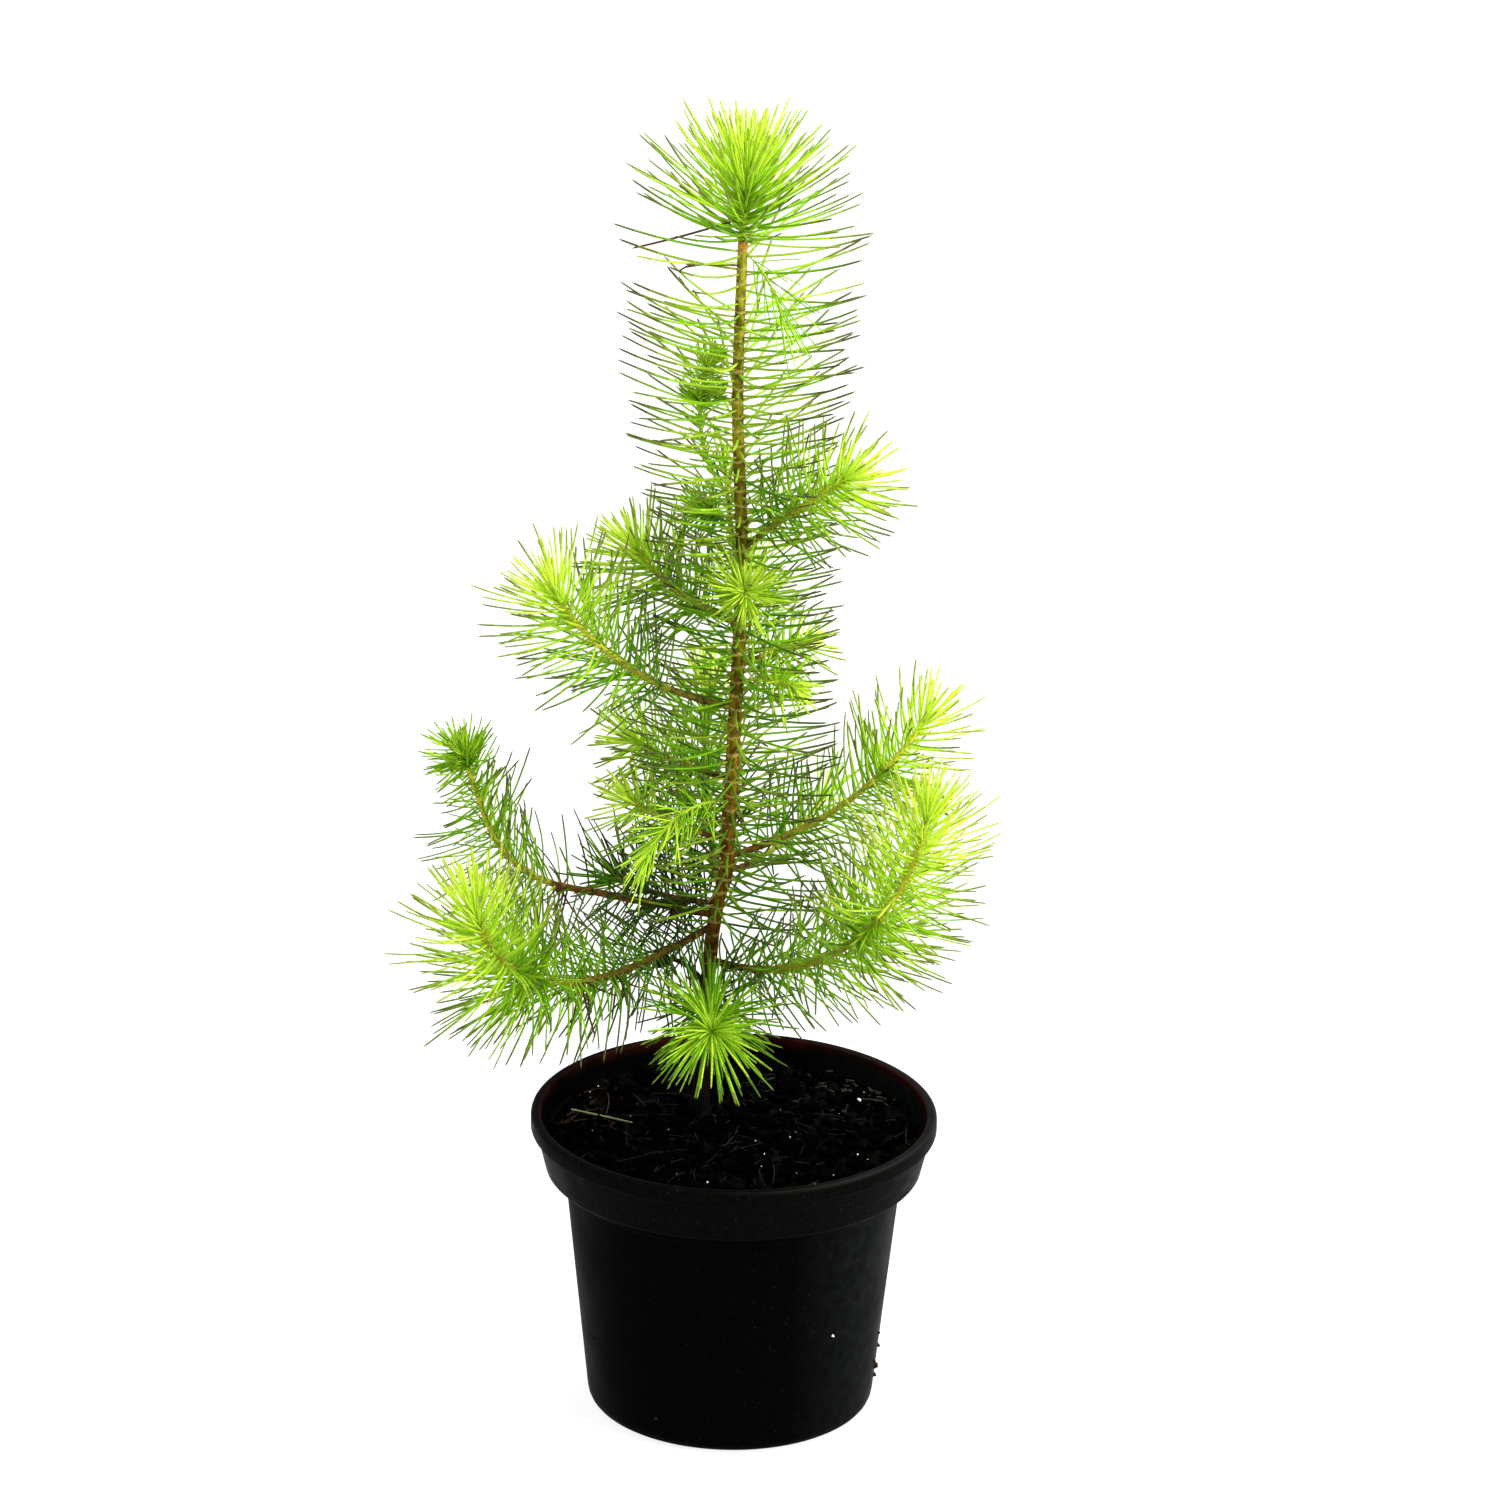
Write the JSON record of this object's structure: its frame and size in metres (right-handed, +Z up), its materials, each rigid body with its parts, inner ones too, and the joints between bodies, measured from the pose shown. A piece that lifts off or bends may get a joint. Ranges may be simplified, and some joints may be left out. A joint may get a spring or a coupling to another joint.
{
  "type": "potted young stone pine",
  "caption": "Young stone pine in a round black nursery pot: a thin upright trunk, side boughs that curve upwards and long soft needles.",
  "frame": {"origin": "centre of the pot's flat underside, where it stands on a level surface", "axes": "+Z up along the pot's axis, +X to the right and +Y away from a viewer in front of the plant"},
  "size_m": [0.1751, 0.1604, 0.3999],
  "materials": {
    "pot_plastic": "near-black moulded plastic with a soft satin sheen",
    "soil": "moist dark potting mix with fibres and pale specks",
    "trunk_bark": "thin brown bark with pale leaf scars, olive towards the top",
    "bough_bark": "thin brown to olive bark",
    "dead_wood": "dry dark brown wood with a black bud",
    "needles_bright": "yellow-green new needles, soft sheen",
    "needles_fresh": "fresh green needles, soft sheen",
    "needles_mid": "mid green needles, soft sheen",
    "needles_dark": "dark green older needles"
  },
  "bodies": {
    "root": {"bough_left_rear": "bough_bark", "bough_left_side": "bough_bark", "bough_low_front_left": "bough_bark", "bough_low_front_right": "bough_bark", "bough_low_left": "bough_bark", "bough_low_left_twin": "bough_bark", "bough_low_rear": "bough_bark", "bough_low_rear_right": "bough_bark", "bough_mid_left": "bough_bark", "bough_mid_rear": "bough_bark", "bough_mid_right": "bough_bark", "bough_right": "bough_bark", "bough_upper_left": "bough_bark", "bough_upper_rear": "bough_bark", "bough_upper_right": "bough_bark", "dead_stub": "dead_wood", "mass_front_left_loose": "needles_bright", "mass_front_low": "needles_bright", "mass_front_mid": "needles_bright", "mass_leader": "needles_bright", "mass_left_rear": "needles_mid", "mass_left_side": "needles_mid", "mass_left_upper_small": "needles_mid", "mass_low_front_left_inner": "needles_dark", "mass_low_front_left_outer": "needles_bright", "mass_low_front_right_inner": "needles_mid", "mass_low_front_right_outer": "needles_bright", "mass_low_left_inner": "needles_mid", "mass_low_left_outer": "needles_fresh", "mass_low_left_twin": "needles_dark", "mass_low_rear_inner": "needles_dark", "mass_low_rear_outer": "needles_mid", "mass_low_rear_right": "needles_dark", "mass_mid_left_inner": "needles_mid", "mass_mid_left_outer": "needles_bright", "mass_mid_rear": "needles_mid", "mass_mid_right": "needles_mid", "mass_rear_left_upper": "needles_dark", "mass_right_inner": "needles_mid", "mass_right_outer": "needles_bright", "mass_right_small": "needles_fresh", "mass_top_drooping": "needles_bright", "mass_trunk_1": "needles_mid", "mass_trunk_2": "needles_mid", "mass_trunk_3": "needles_mid", "mass_trunk_4": "needles_fresh", "mass_trunk_5": "needles_fresh", "mass_trunk_6": "needles_fresh", "mass_upper_left": "needles_fresh", "mass_upper_rear": "needles_fresh", "mass_upper_right": "needles_bright", "pot": "pot_plastic", "soil": "soil", "trunk": "trunk_bark"}
  },
  "joints": []
}
